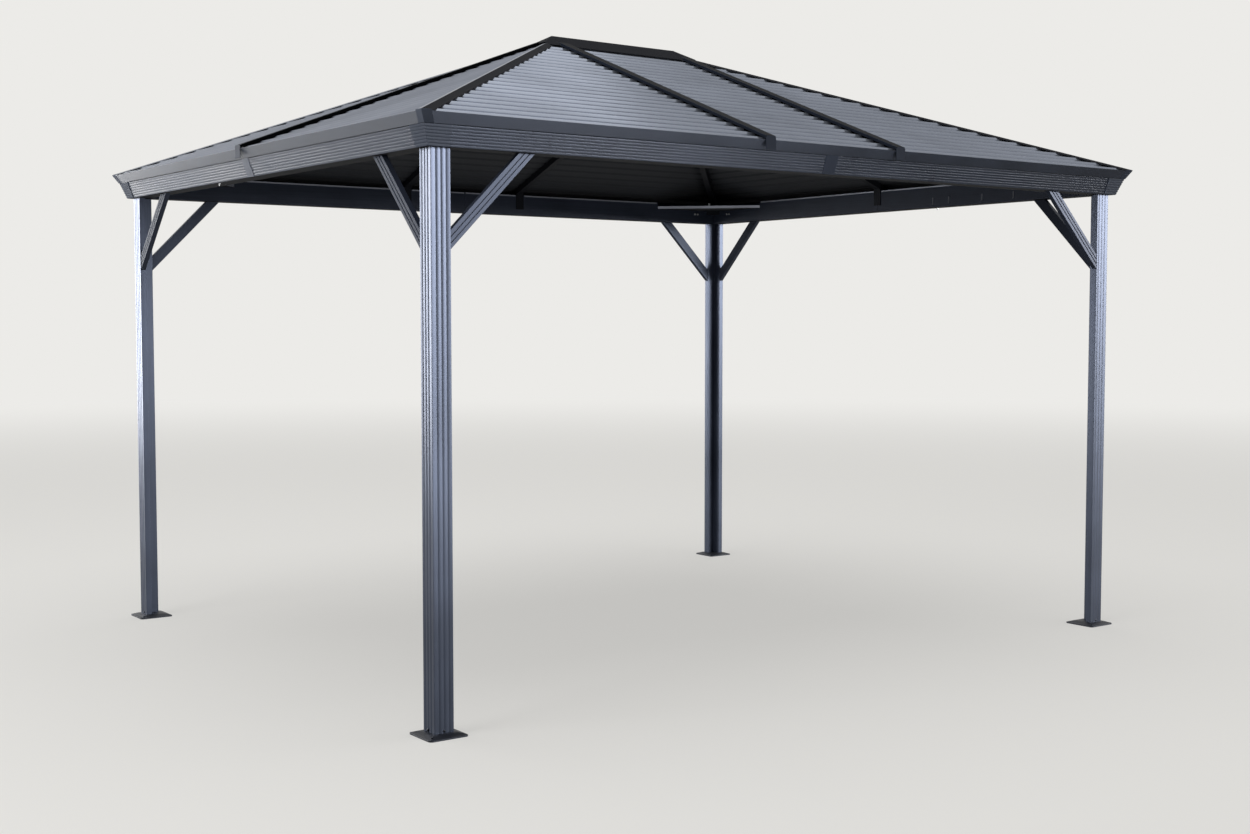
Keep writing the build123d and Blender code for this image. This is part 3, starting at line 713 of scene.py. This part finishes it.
def softbox(name, place, aim, size, radiance, mirrored_only=False, spread=180):
    """A softbox of a given radiance, aimed at a point and out of the camera's sight."""
    lamp = bpy.data.lights.new(name, "AREA")
    lamp.shape = "RECTANGLE"
    lamp.size, lamp.size_y = size
    lamp.energy = radiance * pi * size[0] * size[1]
    lamp.spread = radians(spread)
    light = bpy.data.objects.new(name, lamp)
    light.location = place
    light.rotation_euler = (Vector(aim) - Vector(place)).to_track_quat("-Z", "Y").to_euler()
    light.visible_camera = False
    light.visible_diffuse = not mirrored_only
    bpy.context.scene.collection.objects.link(light)


def floor_card(name, across, ahead, size, radiance, spread):
    """A softbox that lies on the floor, shines upward and only shows in reflections."""
    softbox(name, (across, ahead, 0.03), (across, ahead, 2.0), size, radiance, True, spread)


def seen_share(tree):
    """1 for a ray that shows the studio itself, direct or in a reflection, and 0 for one that lights."""
    path = add(tree, "ShaderNodeLightPath").outputs
    seen = add(tree, "ShaderNodeMath", {0: path["Is Camera Ray"], 1: path["Is Glossy Ray"]},
               operation="MAXIMUM").outputs[0]
    return add(tree, "ShaderNodeMath", {0: seen, 1: path["Is Transmission Ray"]},
               operation="MAXIMUM").outputs[0]


def studio_floor(tone):
    """Matt painted floor that runs out into an even pale backdrop, and keeps the gazebo's shadow."""
    material, tree = new_material("Pale studio floor")
    place = add(tree, "ShaderNodeTexCoord").outputs["Object"]
    away = add(tree, "ShaderNodeVectorMath", {0: place}, operation="LENGTH").outputs["Value"]
    fade = add(tree, "ShaderNodeMapRange", {"Value": away, "From Min": 4.0, "From Max": 22.0, "To Min": 0.5},
               interpolation_type="SMOOTHSTEP").outputs[0]
    matt = add(tree, "ShaderNodeBsdfPrincipled", {
        "Base Color": tone, "Roughness": 0.8, "Specular IOR Level": 0.0}).outputs[0]
    glow = add(tree, "ShaderNodeEmission", {"Color": tone, "Strength": 1.0}).outputs[0]
    pale = add(tree, "ShaderNodeMixShader", {0: fade, 1: matt, 2: glow}).outputs[0]
    # The floor sends little light back up, so that the undersides of the eave stay dark
    dull = add(tree, "ShaderNodeBsdfDiffuse", {"Color": (0.25, 0.25, 0.25, 1.0)}).outputs[0]
    surface = add(tree, "ShaderNodeMixShader", {0: seen_share(tree), 1: dull, 2: pale}).outputs[0]
    add(tree, "ShaderNodeOutputMaterial", {"Surface": surface})
    mesh = bmesh.new()
    bmesh.ops.create_grid(mesh, x_segments=1, y_segments=1, size=FLOOR_REACH)
    data = bpy.data.meshes.new("studio_floor")
    mesh.to_mesh(data)
    mesh.free()
    data.materials.append(material)
    floor = bpy.data.objects.new("studio_floor", data)
    bpy.context.scene.collection.objects.link(floor)


def studio_sky(tone, strength):
    """An even sky that lights at one strength and shows as the pale backdrop."""
    world = bpy.data.worlds.new("Studio sky")
    bpy.context.scene.world = world
    world.use_nodes = True
    tree = world.node_tree
    tree.nodes.clear()
    level = add(tree, "ShaderNodeMapRange", {
        "Value": seen_share(tree), "To Min": strength, "To Max": 1.0}).outputs[0]
    sky = add(tree, "ShaderNodeBackground", {"Color": tone, "Strength": level}).outputs[0]
    add(tree, "ShaderNodeOutputWorld", {"Surface": sky})


class GAZEBO_OT_studio(bpy.types.Operator):
    """Set up the floor, the sky, the softboxes and the camera"""
    bl_idname = "gazebo.studio"
    bl_label = "Studio"

    def execute(self, context):
        scene, colours, studio = context.scene, context.scene.gazebo_colours, context.scene.gazebo_studio
        studio_floor(colours.floor)
        studio_sky(colours.floor, studio.sky)
        # The main softbox stands on the left, low enough to reach the leaning fascia
        softbox("Left softbox", (-9.5, -1.5, 4.2), (-1.0, 0.0, 1.3), (5.0, 5.0), studio.key)
        softbox("Top softbox", (0.0, 0.0, 10.0), (0.0, 0.0, 0.0), (10.0, 10.0), 0.36 * studio.key)
        # Strips that only show in the sheen of the posts, bright at the top and fading down
        softbox("Back left strip", (-4.9, 7.0, 2.7), (-1.7, 0.0, 1.9), (5.0, 4.6), 1.3 * studio.strips, True)
        softbox("Front strip", (14.4, -18.0, 4.8), (0.0, -1.4, 1.7), (14.3, 6.8), 2.9 * studio.strips, True)
        # Low cards that only show in the sheen of the eave, which leans out over them; their narrowed
        # spread keeps them out of the posts' feet
        floor_card("Left card", -3.2, 3.7, (1.6, 5.8), 1.3 * studio.cards, 150)
        floor_card("Front card", -0.6, -3.1, (3.2, 2.4), 0.8 * studio.cards, 150)
        floor_card("Fascia card", 0.9, -4.7, (2.4, 2.4), 6.0 * studio.cards, 165)

        camera = bpy.data.objects.new("Camera", bpy.data.cameras.new("Camera"))
        camera.location = studio.camera_place
        camera.rotation_euler = (pi / 2 - studio.camera_tilt, 0, -studio.camera_turn)
        camera.data.lens = studio.lens
        camera.data.sensor_width = 36.0
        camera.data.clip_end = 4 * FLOOR_REACH
        scene.collection.objects.link(camera)
        scene.camera = camera
        scene.view_settings.view_transform = "Standard"
        return {"FINISHED"}


STEPS = (GAZEBO_OT_posts, GAZEBO_OT_feet, GAZEBO_OT_braces, GAZEBO_OT_beams, GAZEBO_OT_eave_band,
         GAZEBO_OT_roof, GAZEBO_OT_caps, GAZEBO_OT_roof_frame, GAZEBO_OT_fasteners, GAZEBO_OT_studio)


class GAZEBO_PT_panel(bpy.types.Panel):
    """Lists the steps and their settings"""
    bl_idname = "GAZEBO_PT_panel"
    bl_label = "Gazebo"
    bl_space_type = "VIEW_3D"
    bl_region_type = "UI"
    bl_category = "Gazebo"

    def draw(self, context):
        for step in STEPS:
            self.layout.operator(step.bl_idname)
        scene = context.scene
        for group in (scene.gazebo_colours, scene.gazebo_sizes, scene.gazebo_studio):
            box = self.layout.box()
            for setting in group.__annotations__:
                box.prop(group, setting)


CLASSES = (GazeboColours, GazeboSizes, GazeboStudio) + STEPS + (GAZEBO_PT_panel,)


def register():
    for item in CLASSES:
        bpy.utils.register_class(item)
    bpy.types.Scene.gazebo_colours = bpy.props.PointerProperty(type=GazeboColours)
    bpy.types.Scene.gazebo_sizes = bpy.props.PointerProperty(type=GazeboSizes)
    bpy.types.Scene.gazebo_studio = bpy.props.PointerProperty(type=GazeboStudio)


def unregister():
    del bpy.types.Scene.gazebo_studio
    del bpy.types.Scene.gazebo_sizes
    del bpy.types.Scene.gazebo_colours
    for item in reversed(CLASSES):
        bpy.utils.unregister_class(item)


def main():
    """Run every step in order."""
    register()
    bpy.ops.gazebo.posts()
    bpy.ops.gazebo.feet()
    bpy.ops.gazebo.braces()
    bpy.ops.gazebo.beams()
    bpy.ops.gazebo.eave_band()
    bpy.ops.gazebo.roof()
    bpy.ops.gazebo.caps()
    bpy.ops.gazebo.roof_frame()
    bpy.ops.gazebo.fasteners()
    bpy.ops.gazebo.studio()


if __name__ == "__main__":
    main()
